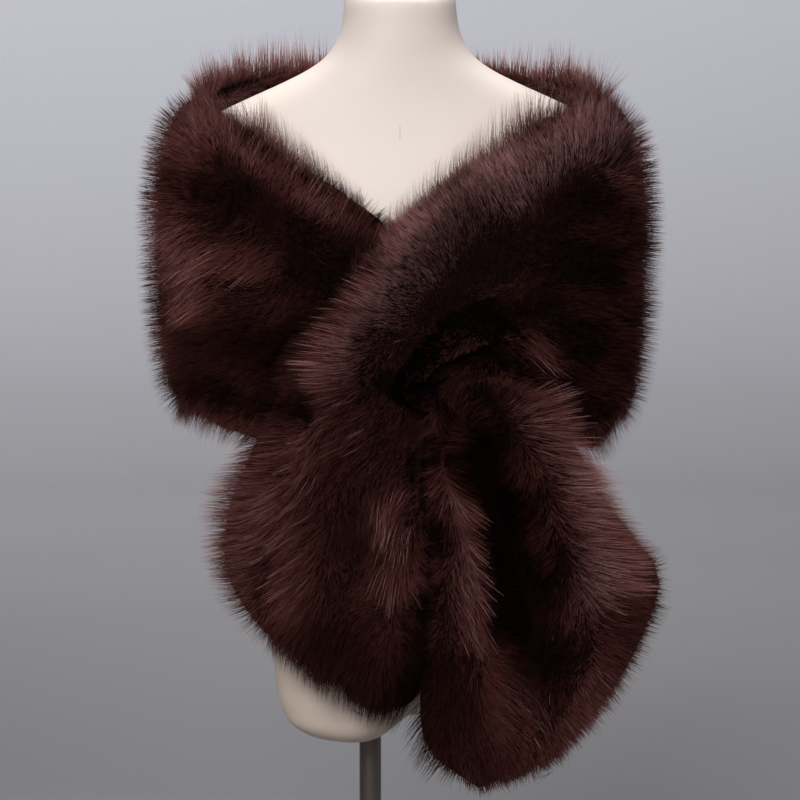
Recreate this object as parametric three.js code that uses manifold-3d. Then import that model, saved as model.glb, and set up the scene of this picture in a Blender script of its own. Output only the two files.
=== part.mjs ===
// A long-pile fur stole worn crossed over the chest of a limbless dress form.
// One end is gathered, drawn forward through a slot in the other end, and both ends hang as tails.
// Millimetres, +Z up, the form faces -Y. The origin is on the floor at the axis of the stand's pole.
import * as THREE from 'three';
import { mergeVertices } from 'three/addons/utils/BufferGeometryUtils.js';
import Module from 'manifold-3d';

const wasm = await Module();
wasm.setup();

// Driving dimensions
const seamGap = 0.3; // between two stretches of the stole, and between a piece and its seat
const layerGap = 0.6; // between the stole and what it lies on
const slotGap = 2; // round the end that is drawn through the slot
const pile = 24; // from the wrong side of the cloth to the reach of the fur
const edgeRoundness = 3.2; // how squarely the fur turns over a long edge of the stole
const sectionsPerRow = 2.5; // sections made for each row of the stole's table

const formCentreX = 30; // the pole stands a little to one side of the form's middle
const formRoundness = 2.2; // exponent of the form's level sections
const formSegments = 32;
const formBottom = 265;
const formArch = { x: 22, halfWidth: 32, rise: 38, fade: 80 }; // hollow under the middle of the hips
const neckTop = { z: 1012, slant: THREE.MathUtils.degToRad(15) };
const neckCap = { halfWidth: 45, halfDepth: 43, thickness: 4 };

const poleRadius = 11;
const poleDepthInForm = 70;
const baseRadius = 165;
const baseThickness = 8;
const collarRadius = 24;
const collarHeight = 32;

const furColour = new THREE.Color(0.1, 0.035, 0.03);
const formColour = new THREE.Color(0.84, 0.77, 0.7);
const steelColour = new THREE.Color(0.42, 0.4, 0.37);

// The form's level sections from the hips to the neck: half width, and depth to the front and back
const formTable = [
  { z: 265, half: 44, front: 30, back: 32 },
  { z: 266, half: 78, front: 52, back: 54 },
  { z: 270, half: 97, front: 65, back: 68 },
  { z: 281, half: 114, front: 76, back: 80 },
  { z: 308, half: 124, front: 84, back: 88 },
  { z: 353, half: 129, front: 88, back: 93 },
  { z: 420, half: 142, front: 94, back: 102 },
  { z: 475, half: 149, front: 97, back: 106 },
  { z: 535, half: 142, front: 94, back: 98 },
  { z: 595, half: 126, front: 88, back: 84 },
  { z: 640, half: 119, front: 87, back: 78 },
  { z: 690, half: 126, front: 96, back: 82 },
  { z: 735, half: 140, front: 106, back: 88 },
  { z: 775, half: 155, front: 104, back: 92 },
  { z: 810, half: 172, front: 92, back: 92 },
  { z: 840, half: 188, front: 79, back: 88 },
  { z: 862, half: 196, front: 69, back: 82 },
  { z: 878, half: 194, front: 63, back: 77 },
  { z: 890, half: 183, front: 59, back: 73 },
  { z: 904, half: 153, front: 56, back: 69 },
  { z: 918, half: 121, front: 54, back: 65 },
  { z: 930, half: 96, front: 53, back: 62 },
  { z: 942, half: 77, front: 52, back: 60 },
  { z: 956, half: 65, front: 52, back: 58 },
  { z: 975, half: 58, front: 51, back: 56 },
  { z: 1005, half: 55, front: 51, back: 54 },
  { z: 1045, half: 54, front: 51, back: 54 },
];

// The stole, a row for each section along it, with x from the form's middle.
// collar is its neckline edge and hem its lower edge. Between them the cloth leans towards two
// points, bend and drop, each a share of the way down and a distance outwards.
// A collar with y null is seated on the form's front.
const tailThroughRows = [
  { at: 'through tail end', collar: [148, -122, 269], hem: [74, -136, 243],
    bend: [0.33, 2], drop: [0.67, 2], pile: 5 },
  { at: 'through tail corner', collar: [203, -121, 334], hem: [27, -139, 280],
    bend: [0.33, 6], drop: [0.67, 6], pile: 18 },
  { at: 'through tail low', collar: [234, -120, 391], hem: [19, -143, 334],
    bend: [0.33, 10], drop: [0.67, 10], pile },
  { at: 'through tail widest', collar: [248, -122, 449], hem: [25, -149, 402],
    bend: [0.33, 14], drop: [0.67, 10], pile },
  { at: 'through tail middle', collar: [204, -131, 504], hem: [27, -155, 467],
    bend: [0.33, 18], drop: [0.67, 12], pile },
  { at: 'through tail high', collar: [171, -141, 558], hem: [24, -160, 532],
    bend: [0.3, 20], drop: [0.7, 14], pile },
  { at: 'through tail top', collar: [143, -149, 611], hem: [27, -163, 585],
    bend: [0.25, 18], drop: [0.75, 14], pile },
  { at: 'out of the slot', collar: [108, -152, 652], hem: [34, -157, 612],
    bend: [0.25, 10], drop: [0.75, 8], pile },
  { at: 'in the slot', collar: [88, -134, 670], hem: [28, -136, 610],
    bend: [0.33, 4], drop: [0.67, 4], pile: 22 },
];
const frontUnderRows = [
  { at: 'behind the slot', collar: [64, -112, 690], hem: [-8, -114, 600],
    bend: [0.33, 5], drop: [0.67, 5], pile: 18 },
  { at: 'under the crossing', collar: [29, -106, 727], hem: [-62, -114, 577],
    bend: [0.33, 7], drop: [0.67, 7], pile: 17 },
  { at: 'under centre front', collar: [-14, null, 782], hem: [-108, -116, 565],
    bend: [0.25, 14], drop: [0.75, 8], pile: 20 },
  { at: 'under chest', collar: [-57, null, 812], hem: [-140, -106, 574],
    bend: [0.15, 26], drop: [0.75, 16], pile },
  { at: 'under shoulder front', collar: [-100, null, 838], hem: [-172, -84, 583],
    bend: [0.1, 44], drop: [0.75, 22], pile },
  { at: 'under shoulder', collar: [-152, null, 867], hem: [-200, -42, 593],
    bend: [-0.03, 66], drop: [0.8, 20], pile },
];
// From the top of one shoulder to the middle of the back, for the side at +x
const yokeRows = [
  { at: 'shoulder top', collar: [184, -6, 892], hem: [208, 6, 592],
    bend: [-0.04, 74], drop: [0.85, 18], pile },
  { at: 'shoulder back', collar: [150, 34, 914], hem: [186, 66, 594],
    bend: [0, 62], drop: [0.8, 20], pile },
  { at: 'shoulder blade', collar: [98, 46, 930], hem: [110, 112, 600],
    bend: [0.15, 42], drop: [0.75, 18], pile },
];
const backCentreRow = {
  at: 'back centre',
  collar: [0, 58, 936],
  hem: [0, 124, 600],
  bend: [0.2, 34],
  drop: [0.75, 16],
  pile,
};
const frontOverRows = [
  { at: 'over shoulder', collar: [154, null, 876], hem: [210, -46, 589],
    bend: [-0.03, 68], drop: [0.8, 22], pile },
  { at: 'over shoulder front', collar: [97, null, 848], hem: [186, -92, 563],
    bend: [0.1, 42], drop: [0.75, 24], pile },
  { at: 'over chest', collar: [38, null, 811], hem: [150, -120, 580],
    bend: [0.15, 28], drop: [0.75, 16], pile },
  { at: 'over centre front', collar: [-9, -124, 774], hem: [122, -130, 600],
    bend: [0.2, 18], drop: [0.75, 10], pile },
  { at: 'over the crossing', collar: [-50, -133, 728], hem: [104, -134, 586],
    bend: [0.25, 14], drop: [0.75, 8], pile },
  { at: 'below the crossing', collar: [-90, -137, 676], hem: [88, -135, 552],
    bend: [0.3, 12], drop: [0.7, 8], pile },
];
const tailOverRows = [
  { at: 'over tail top', collar: [-119, -137, 617], hem: [74, -134, 510],
    bend: [0.3, 12], drop: [0.7, 8], pile },
  { at: 'over tail high', collar: [-143, -132, 562], hem: [58, -131, 463],
    bend: [0.3, 12], drop: [0.7, 8], pile },
  { at: 'over tail middle', collar: [-165, -124, 505], hem: [47, -127, 408],
    bend: [0.3, 12], drop: [0.7, 8], pile },
  { at: 'over tail low', collar: [-167, -115, 449], hem: [31, -121, 349],
    bend: [0.33, 10], drop: [0.67, 8], pile },
  { at: 'over tail corner', collar: [-139, -109, 399], hem: [6, -116, 318],
    bend: [0.33, 6], drop: [0.67, 6], pile: 18 },
  { at: 'over tail end', collar: [-102, -106, 364], hem: [-24, -111, 319],
    bend: [0.33, 2], drop: [0.67, 2], pile: 5 },
];

// The stole's largest folds. Each runs from one row to another, starts and ends at a share of the way
// from the collar edge to the hem edge, and stands out (or sinks, if negative) by height.
const foldTable = [
  { from: 'through tail corner', to: 'out of the slot', start: 0.48, end: 0.72, width: 0.12, height: -42 },
  { from: 'through tail end', to: 'out of the slot', start: 0.64, end: 0.9, width: 0.08, height: 12 },
  { from: 'through tail end', to: 'out of the slot', start: 0.3, end: 0.16, width: 0.15, height: 16 },
  { from: 'under the crossing', to: 'under shoulder', start: 0.5, end: 0.24, width: 0.1, height: 13 },
  { from: 'under the crossing', to: 'under shoulder', start: 0.68, end: 0.46, width: 0.1, height: -8 },
  { from: 'under the crossing', to: 'under shoulder', start: 0.82, end: 0.72, width: 0.08, height: 6 },
  { from: 'over shoulder front', to: 'over tail low', start: 0.1, end: 0.36, width: 0.1, height: 13 },
  { from: 'over shoulder', to: 'below the crossing', start: 0.26, end: 0.52, width: 0.12, height: -11 },
  { from: 'over shoulder', to: 'below the crossing', start: 0.5, end: 0.74, width: 0.08, height: 10 },
  { from: 'over shoulder', to: 'below the crossing', start: 0.74, end: 0.88, width: 0.07, height: -7 },
  { from: 'over the crossing', to: 'over tail end', start: 0.44, end: 0.2, width: 0.08, height: -10 },
  { from: 'over the crossing', to: 'over tail end', start: 0.58, end: 0.56, width: 0.08, height: -13 },
  { from: 'over the crossing', to: 'over tail end', start: 0.74, end: 0.78, width: 0.09, height: 15 },
];

// Smooth change between the rows of a table, by a spline through one of its columns
function columnSpline(rows, value) {
  const points = rows.map((row, index) => new THREE.Vector3(index, value(row), 0));
  const curve = new THREE.CatmullRomCurve3(points, false, 'catmullrom', 0.5);
  return (share) => curve.getPoint(THREE.MathUtils.clamp(share, 0, 1)).y;
}

// The form
const formColumns = {
  half: columnSpline(formTable, (row) => row.half),
  front: columnSpline(formTable, (row) => row.front),
  back: columnSpline(formTable, (row) => row.back),
};

function formShareAt(z) {
  const last = formTable.length - 1;
  const above = formTable.findIndex((row) => row.z > z);
  if (above === -1) return 1;
  if (above === 0) return 0;
  const low = formTable[above - 1];
  return (above - 1 + (z - low.z) / (formTable[above].z - low.z)) / last;
}

// How far the form stands out to its front at x from its middle
function formFront(x, z) {
  const share = formShareAt(z);
  const across = Math.min(1, Math.abs(x) / formColumns.half(share));
  return formColumns.front(share) * (1 - across ** formRoundness) ** (1 / formRoundness);
}

function archLift(x, z) {
  const near = Math.exp(-(((x - formArch.x) / formArch.halfWidth) ** 2));
  const low = 1 - THREE.MathUtils.smoothstep(z, formBottom, formBottom + formArch.fade);
  return formArch.rise * near * low;
}

function formRing(share, z, grow) {
  const ring = [];
  for (let i = 0; i < formSegments; i += 1) {
    const angle = (2 * Math.PI * i) / formSegments;
    const depth = Math.sin(angle) < 0 ? formColumns.front(share) : formColumns.back(share);
    const power = 2 / formRoundness;
    const [side, facing] = [Math.cos(angle), Math.sin(angle)];
    const x = Math.sign(side) * Math.abs(side) ** power * (formColumns.half(share) + grow);
    const y = Math.sign(facing) * Math.abs(facing) ** power * (depth + grow);
    ring.push(new THREE.Vector3(x + formCentreX, y, z + archLift(x, z)));
  }
  return ring;
}

function formGeometry(grow) {
  const rings = [];
  formTable.forEach((row, index) => {
    const share = index / (formTable.length - 1);
    rings.push(formRing(share, row.z, grow));
    const next = formTable[index + 1];
    if (next && next.z - row.z > 45) {
      rings.push(formRing(formShareAt((row.z + next.z) / 2), (row.z + next.z) / 2, grow));
    }
  });
  return ringsGeometry(rings, fanCap, fanCap);
}

// Meshes through rings of points
function fanCap(ring, add, triangle) {
  const centre = ring.reduce((sum, point) => sum.add(point), new THREE.Vector3()).divideScalar(ring.length);
  const middle = add(centre);
  ring.forEach((_, i) => triangle(middle, i, (i + 1) % ring.length));
}

// Closes a ring whose first half faces its second half, as a section of cloth does
function zipCap(ring, add, triangle) {
  const count = ring.length;
  for (let i = 0; i < count / 2; i += 1) {
    const ahead = i + 1;
    const back = (count - i) % count;
    const backNext = (count - ahead) % count;
    if (back !== i) triangle(back, i, ahead);
    if (backNext !== ahead) triangle(back, ahead, backNext);
  }
}

function ringsGeometry(rings, startCap, endCap) {
  const positions = [];
  const indices = [];
  const add = (point) => positions.push(point.x, point.y, point.z) / 3 - 1;
  const size = rings[0].length;
  rings.forEach((ring) => ring.forEach(add));
  for (let r = 0; r + 1 < rings.length; r += 1) {
    for (let i = 0; i < size; i += 1) {
      const a = r * size + i;
      const b = r * size + ((i + 1) % size);
      indices.push(a, b, a + size, b, b + size, a + size);
    }
  }
  const lastStart = (rings.length - 1) * size;
  startCap(rings[0], add, (a, b, c) => indices.push(a, c, b));
  endCap(rings.at(-1), add, (a, b, c) =>
    indices.push(...[a, b, c].map((index) => (index < size ? index + lastStart : index))));
  const geometry = new THREE.BufferGeometry();
  geometry.setAttribute('position', new THREE.Float32BufferAttribute(positions, 3));
  geometry.setIndex(indices);
  return geometry;
}

// The stole
const stoleRows = [
  ...tailThroughRows,
  ...frontUnderRows,
  ...yokeRows.map(mirrored),
  backCentreRow,
  ...[...yokeRows].reverse(),
  ...frontOverRows,
  ...tailOverRows,
].map(seated);
const rowCount = stoleRows.length;

function mirrored(row) {
  const flip = ([x, y, z]) => [-x, y, z];
  return { ...row, at: `under ${row.at}`, collar: flip(row.collar), hem: flip(row.hem) };
}

function seated(row) {
  const [x, y, z] = row.collar;
  return { ...row, collar: [x, y ?? -formFront(x, z), z] };
}

function rowIndex(name) {
  const index = stoleRows.findIndex((row) => row.at === name);
  if (index < 0) throw new Error(`no row at ${name}`);
  return index;
}

function edgeCurve(edge) {
  const points = stoleRows.map((row) => new THREE.Vector3(...row[edge]).setX(row[edge][0] + formCentreX));
  return new THREE.CatmullRomCurve3(points, false, 'catmullrom', 0.5);
}

const collarCurve = edgeCurve('collar');
const hemCurve = edgeCurve('hem');
const bendColumn = [0, 1].map((part) => columnSpline(stoleRows, (row) => row.bend[part]));
const dropColumn = [0, 1].map((part) => columnSpline(stoleRows, (row) => row.drop[part]));
const pileColumn = columnSpline(stoleRows, (row) => row.pile);
const folds = foldTable.map((fold) => ({ ...fold, low: rowIndex(fold.from), high: rowIndex(fold.to) }));

// A point of the cloth's wrong side, before its folds
function clothPoint(along, across) {
  const share = THREE.MathUtils.clamp(along / (rowCount - 1), 0, 1);
  const collar = collarCurve.getPoint(share);
  const hem = hemCurve.getPoint(share);
  const step = 0.002;
  const middleAt = (s) => collarCurve.getPoint(s).add(hemCurve.getPoint(s)).multiplyScalar(0.5);
  const forward = middleAt(Math.min(1, share + step)).sub(middleAt(Math.max(0, share - step)));
  const chord = hem.clone().sub(collar);
  const outward = forward.cross(chord).normalize();
  const leaning = ([down, out]) => {
    const hanging = collar.clone().addScaledVector(chord, down(share));
    return hanging.addScaledVector(outward, out(share));
  };
  const section = new THREE.CubicBezierCurve3(collar, leaning(bendColumn), leaning(dropColumn), hem);
  return section.getPoint(across);
}

function clothOutward(along, across) {
  const alongStep = 0.05;
  const acrossStep = 0.02;
  const lowAlong = Math.max(0, along - alongStep);
  const highAlong = Math.min(rowCount - 1, along + alongStep);
  const lowAcross = Math.max(0, across - acrossStep);
  const highAcross = Math.min(1, across + acrossStep);
  const forward = clothPoint(highAlong, across).sub(clothPoint(lowAlong, across));
  const down = clothPoint(along, highAcross).sub(clothPoint(along, lowAcross));
  return forward.cross(down).normalize();
}

function foldHeight(along, across) {
  let height = 0;
  for (const fold of folds) {
    const share = (along - fold.low) / (fold.high - fold.low);
    if (share <= 0 || share >= 1) continue;
    const centre = THREE.MathUtils.lerp(fold.start, fold.end, share);
    const swell = Math.sqrt(Math.sin(Math.PI * share));
    height += fold.height * swell * Math.exp(-(((across - centre) / fold.width) ** 2));
  }
  return height;
}

function stoleRing(along, acrossSteps, grow) {
  const outer = [];
  const inner = [];
  const share = along / (rowCount - 1);
  const reach = pileColumn(share);
  for (let i = 0; i <= acrossSteps; i += 1) {
    const across = 0.5 - 0.5 * Math.cos((Math.PI * i) / acrossSteps);
    const side = 2 * across - 1;
    const outward = clothOutward(along, across);
    const point = clothPoint(along, across).addScaledVector(outward, foldHeight(along, across));
    if (grow > 0) {
      const chord = hemCurve.getPoint(share).sub(collarCurve.getPoint(share)).normalize();
      point.addScaledVector(chord, grow * side);
    }
    const onEdge = i === 0 || i === acrossSteps;
    const fur = onEdge ? 0 : reach * (1 - Math.abs(side) ** edgeRoundness) ** (1 / edgeRoundness) + grow;
    outer.push(point.clone().addScaledVector(outward, fur));
    if (!onEdge) inner.push(point.clone().addScaledVector(outward, -grow));
  }
  return [...outer, ...inner.reverse()];
}

// One stretch of the stole between two rows, parted from its neighbours by half a seam's gap
function stoleGeometry({ from, to, acrossSteps }, grow = 0) {
  const first = rowIndex(from);
  const last = rowIndex(to);
  const part = (along, way) => {
    if (along === 0 || along === rowCount - 1) return along;
    const step = 0.05;
    const spans = [0, 0.03, 0.5, 0.97, 1].map((across) =>
      clothPoint(along + step, across).distanceTo(clothPoint(along - step, across)) / (2 * step));
    return along + (way * (seamGap / 2 - grow)) / Math.min(...spans);
  };
  const start = part(first, 1);
  const end = part(last, -1);
  const steps = Math.round((last - first) * sectionsPerRow);
  const rings = [];
  for (let i = 0; i <= steps; i += 1) {
    const along = first + ((last - first) * i) / steps;
    rings.push(stoleRing(i === 0 ? start : i === steps ? end : along, acrossSteps, grow));
  }
  return ringsGeometry(rings, zipCap, zipCap);
}

// Solids
function solidOf(geometry) {
  const bare = geometry.clone();
  bare.deleteAttribute('normal');
  bare.deleteAttribute('uv');
  const merged = mergeVertices(bare, 1e-4);
  const vertProperties = Float32Array.from(merged.attributes.position.array);
  const triVerts = Uint32Array.from(merged.index.array);
  const solid = new wasm.Manifold(new wasm.Mesh({ numProp: 3, vertProperties, triVerts }));
  if (solid.volume() > 0) return solid;
  for (let i = 0; i < triVerts.length; i += 3) {
    [triVerts[i], triVerts[i + 1]] = [triVerts[i + 1], triVerts[i]];
  }
  return new wasm.Manifold(new wasm.Mesh({ numProp: 3, vertProperties, triVerts }));
}

function largestBody(solid) {
  return solid.decompose().reduce((best, body) => (body.volume() > best.volume() ? body : best));
}

function geometryOf(solid) {
  const { numProp, vertProperties, triVerts } = solid.getMesh();
  const positions = [];
  for (let i = 0; i < vertProperties.length; i += numProp) positions.push(...vertProperties.slice(i, i + 3));
  const geometry = new THREE.BufferGeometry();
  geometry.setAttribute('position', new THREE.Float32BufferAttribute(positions, 3));
  geometry.setIndex(Array.from(triVerts));
  geometry.computeVertexNormals();
  return geometry;
}

function cutBy(solid, ...cutters) {
  return largestBody(cutters.reduce((left, cutter) => left.subtract(cutter), solid));
}

function material(name, color, roughness, metalness) {
  return new THREE.MeshStandardMaterial({ name, color, roughness, metalness });
}

const fur = material('fur', furColour, 0.75, 0);
const formCover = material('form cover', formColour, 0.6, 0);
const steel = material('steel', steelColour, 0.3, 0.9);

function piece(name, solidOrGeometry, finish) {
  const geometry = solidOrGeometry.isBufferGeometry ? solidOrGeometry : geometryOf(solidOrGeometry);
  const mesh = new THREE.Mesh(geometry, finish);
  mesh.name = name;
  return mesh;
}

function poleBlank(radius, low, high) {
  const rod = new THREE.CylinderGeometry(radius, radius, high - low, 32);
  rod.rotateX(Math.PI / 2);
  rod.translate(0, 0, (low + high) / 2);
  return rod;
}

function lathed(profile) {
  const turned = new THREE.LatheGeometry(profile.map(([r, z]) => new THREE.Vector2(r, z)), 48);
  turned.rotateX(Math.PI / 2);
  return turned;
}

function neckCutter() {
  const height = 80;
  const block = new THREE.BoxGeometry(200, 200, height);
  block.translate(0, 0, height / 2);
  block.rotateX(neckTop.slant);
  block.translate(formCentreX, 0, neckTop.z);
  return block;
}

function formBody() {
  const bore = poleBlank(poleRadius + seamGap, formBottom - 20, formBottom + poleDepthInForm + seamGap);
  return cutBy(solidOf(formGeometry(0)), solidOf(neckCutter()), solidOf(bore));
}

function neckCapPlate() {
  const plate = new THREE.CylinderGeometry(1, 1, neckCap.thickness, 48);
  plate.rotateX(Math.PI / 2);
  plate.scale(neckCap.halfWidth, neckCap.halfDepth, 1);
  plate.translate(0, 0, neckCap.thickness / 2 + seamGap);
  plate.rotateX(neckTop.slant);
  plate.translate(formCentreX, 0, neckTop.z);
  return plate;
}

function standBase() {
  const lip = 3;
  return lathed([
    [0, 0],
    [baseRadius - lip, 0],
    [baseRadius, lip],
    [baseRadius, baseThickness - lip],
    [baseRadius - lip, baseThickness],
    [0, baseThickness],
  ]);
}

function standCollar() {
  const inner = poleRadius + seamGap;
  const foot = baseThickness + seamGap;
  const top = baseThickness + collarHeight;
  const flange = 6;
  const neck = collarRadius - flange;
  return lathed([
    [inner, foot],
    [collarRadius, foot],
    [collarRadius, foot + flange],
    [neck, foot + 2 * flange],
    [neck, top],
    [inner, top],
    [inner, foot],
  ]);
}

const stretches = {
  tailThrough: { from: 'through tail end', to: 'in the slot', acrossSteps: 36 },
  frontUnder: { from: 'in the slot', to: 'under shoulder top', acrossSteps: 14 },
  back: { from: 'under shoulder top', to: 'shoulder top', acrossSteps: 12 },
  frontOver: { from: 'shoulder top', to: 'below the crossing', acrossSteps: 20 },
  tailOver: { from: 'below the crossing', to: 'over tail end', acrossSteps: 20 },
};
const slotStretch = { from: 'out of the slot', to: 'behind the slot', acrossSteps: 8 };
const stretch = (name, grow) => solidOf(stoleGeometry(stretches[name], grow));
const grownForm = solidOf(formGeometry(layerGap));
const grownThrough = [stretch('tailThrough', slotGap), solidOf(stoleGeometry(slotStretch, slotGap)).hull()];
const grownOver = ['frontOver', 'tailOver'].map((name) => stretch(name, layerGap));

const group = new THREE.Group();
group.add(
  piece('stole_back', cutBy(stretch('back'), grownForm), fur),
  piece('stole_front_under', cutBy(stretch('frontUnder'), grownForm, ...grownOver), fur),
  piece('stole_tail_through', cutBy(stretch('tailThrough'), grownForm), fur),
  piece('stole_front_over', cutBy(stretch('frontOver'), grownForm, ...grownThrough), fur),
  piece('stole_tail_over', cutBy(stretch('tailOver'), grownForm, ...grownThrough), fur),
  piece('form_body', formBody(), formCover),
  piece('form_neck_cap', neckCapPlate(), steel),
  piece('stand_pole', poleBlank(poleRadius, baseThickness + seamGap, formBottom + poleDepthInForm), steel),
  piece('stand_collar', standCollar(), steel),
  piece('stand_base', standBase(), steel),
);

export default group;
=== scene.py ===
import math
import bpy
import numpy as np
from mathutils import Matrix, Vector
from mathutils.bvhtree import BVHTree
from mathutils.kdtree import KDTree


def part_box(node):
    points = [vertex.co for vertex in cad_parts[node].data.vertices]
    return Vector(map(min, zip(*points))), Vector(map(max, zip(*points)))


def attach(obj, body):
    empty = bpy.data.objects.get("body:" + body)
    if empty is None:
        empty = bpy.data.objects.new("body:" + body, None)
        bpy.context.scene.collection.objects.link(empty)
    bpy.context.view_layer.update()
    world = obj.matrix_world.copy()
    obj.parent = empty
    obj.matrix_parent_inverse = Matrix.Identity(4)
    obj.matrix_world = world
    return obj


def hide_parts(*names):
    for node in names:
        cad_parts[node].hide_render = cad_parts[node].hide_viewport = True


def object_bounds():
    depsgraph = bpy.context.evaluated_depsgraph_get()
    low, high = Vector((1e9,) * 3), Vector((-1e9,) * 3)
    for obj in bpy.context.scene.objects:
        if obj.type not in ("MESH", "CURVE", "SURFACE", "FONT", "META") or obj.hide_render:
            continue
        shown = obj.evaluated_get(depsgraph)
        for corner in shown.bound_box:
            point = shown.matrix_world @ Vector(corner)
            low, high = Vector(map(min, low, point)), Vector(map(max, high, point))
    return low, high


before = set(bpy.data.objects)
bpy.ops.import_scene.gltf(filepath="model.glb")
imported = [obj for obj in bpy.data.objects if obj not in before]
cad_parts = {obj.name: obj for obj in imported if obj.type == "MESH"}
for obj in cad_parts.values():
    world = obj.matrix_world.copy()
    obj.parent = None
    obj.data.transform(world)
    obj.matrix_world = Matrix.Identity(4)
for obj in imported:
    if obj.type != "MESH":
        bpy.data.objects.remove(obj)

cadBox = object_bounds()
print("stage: frame loaded")

stoleNodes = ["stole_back", "stole_front_under", "stole_tail_through", "stole_front_over", "stole_tail_over"]
formLow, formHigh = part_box("form_body")
formMiddle = (formLow[0] + formHigh[0]) / 2
cornerGap = 0.00002      # the loose triangles of a CAD node meet within this


# Small helpers for working by hand

def deselectAll():
    if bpy.context.object and bpy.context.object.mode != "OBJECT":
        bpy.ops.object.mode_set(mode="OBJECT")
    bpy.ops.object.select_all(action="DESELECT")


def pickOnly(piece):
    deselectAll()
    piece.select_set(True)
    bpy.context.view_layer.objects.active = piece


def mergeCorners(piece, reach):
    pickOnly(piece)
    bpy.ops.object.mode_set(mode="EDIT")
    bpy.ops.mesh.select_all(action="SELECT")
    bpy.ops.mesh.remove_doubles(threshold=reach)
    bpy.ops.object.mode_set(mode="OBJECT")


def copyOfNode(nodeName, pieceName):
    # a CAD node is loose triangles, so its copy has its corners merged
    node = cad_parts[nodeName]
    node.hide_viewport = False
    pickOnly(node)
    bpy.ops.object.duplicate()
    piece = bpy.context.object
    piece.name = pieceName
    piece.parent = None
    piece.data.materials.clear()
    mergeCorners(piece, cornerGap)
    return piece


def applyModifier(piece, kind, **settings):
    pickOnly(piece)
    modifier = piece.modifiers.new(kind.lower(), kind)
    for key, value in settings.items():
        setattr(modifier, key, value)
    bpy.ops.object.modifier_apply(modifier=modifier.name)


def smoothByAngle(piece, degrees):
    pickOnly(piece)
    bpy.ops.object.shade_smooth_by_angle(angle=math.radians(degrees))


def ownPiece(piece, finish):
    piece.data.materials.clear()
    piece.data.materials.append(finish)
    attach(piece, "root")


# Finishes, written as sums on sockets

class Wire:
    # one output socket, with the arithmetic that the finishes use
    def __init__(self, finish, socket):
        self.finish = finish
        self.socket = socket

    def maths(self, operation, *others):
        return self.finish.node("ShaderNodeMath", {"operation": operation}, dict(enumerate((self, *others))))

    def __add__(self, other):
        return self.maths("ADD", other)

    def __sub__(self, other):
        return self.maths("SUBTRACT", other)

    def __mul__(self, other):
        return self.maths("MULTIPLY", other)

    def within(self, middle, reach):
        # 1 where this is no farther than the reach from the middle, and 0 elsewhere
        return (self - middle).maths("ABSOLUTE").maths("LESS_THAN", reach)

    def clamped(self):
        return self.finish.node("ShaderNodeClamp", {}, {"Value": self})


class Finish:
    def __init__(self, name):
        self.material = bpy.data.materials.new(name)
        self.material.use_nodes = True
        self.tree = self.material.node_tree
        self.shader = self.tree.nodes["Principled BSDF"]

    def node(self, kind, settings=None, values=None, output=0):
        made = self.tree.nodes.new(kind)
        for key, value in (settings or {}).items():
            setattr(made, key, value)
        for key, value in (values or {}).items():
            self.give(made.inputs[key], value)
        return Wire(self, made.outputs[output])

    def give(self, socket, value):
        if isinstance(value, Wire):
            self.tree.links.new(value.socket, socket)
        elif socket.type == "RGBA" and len(value) == 3:
            socket.default_value = (*value, 1)
        else:
            socket.default_value = value

    def ramp(self, share, colours):
        colour = self.node("ShaderNodeValToRGB", {}, {"Fac": share})
        stops = colour.socket.node.color_ramp.elements
        while len(stops) < len(colours):
            stops.new(0.5)
        for stop, (place, value) in zip(stops, colours):
            stop.position = place
            stop.color = (*value, 1)
        return colour

    def mix(self, share, first, second, blend="MIX"):
        return self.node("ShaderNodeMix", {"data_type": "RGBA", "blend_type": blend},
                         {0: share, 6: first, 7: second}, output=2)

    def attribute(self, name):
        return self.node("ShaderNodeAttribute", {"attribute_name": name}, output=2)

    def place(self):
        return self.node("ShaderNodeTexCoord", output=3)

    def axis(self, number):
        return self.node("ShaderNodeSeparateXYZ", {}, {"Vector": self.place()}, output=number)

    def noise(self, scale, detail, stretch=(1, 1, 1)):
        mapped = self.node("ShaderNodeMapping", {}, {"Vector": self.place(), "Scale": stretch})
        return self.node("ShaderNodeTexNoise", {}, {"Vector": mapped, "Scale": scale, "Detail": detail})

    def bump(self, height, strength, distance):
        return self.node("ShaderNodeBump", {}, {"Height": height, "Strength": strength, "Distance": distance})

    def surface(self, **sockets):
        for name, value in sockets.items():
            self.give(self.shader.inputs[name.replace("_", " ")], value)
        return self.material


# Camera, placed as the photo was taken

cameraView = {
    "distance": 2.4,
    "elevation": 4.0,
    "target": (0.03, 0.0, 0.605),
    "fieldAtTarget": 0.8,    # the width that the picture takes in there
    "sensor": 36,
    "clipEnd": 60,
}


def placeCamera():
    tilt = math.radians(cameraView["elevation"])
    target = Vector(cameraView["target"])
    away = Vector((0, -math.cos(tilt), math.sin(tilt))) * cameraView["distance"]
    bpy.ops.object.camera_add(location=target + away)
    camera = bpy.context.object
    camera.rotation_euler = (-away).to_track_quat("-Z", "Y").to_euler()
    camera.data.sensor_width = cameraView["sensor"]
    camera.data.lens = cameraView["sensor"] * cameraView["distance"] / cameraView["fieldAtTarget"]
    camera.data.clip_end = cameraView["clipEnd"]
    bpy.context.scene.camera = camera


# Studio: a pale floor that sweeps up into a wall all round, and soft lights

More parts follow.
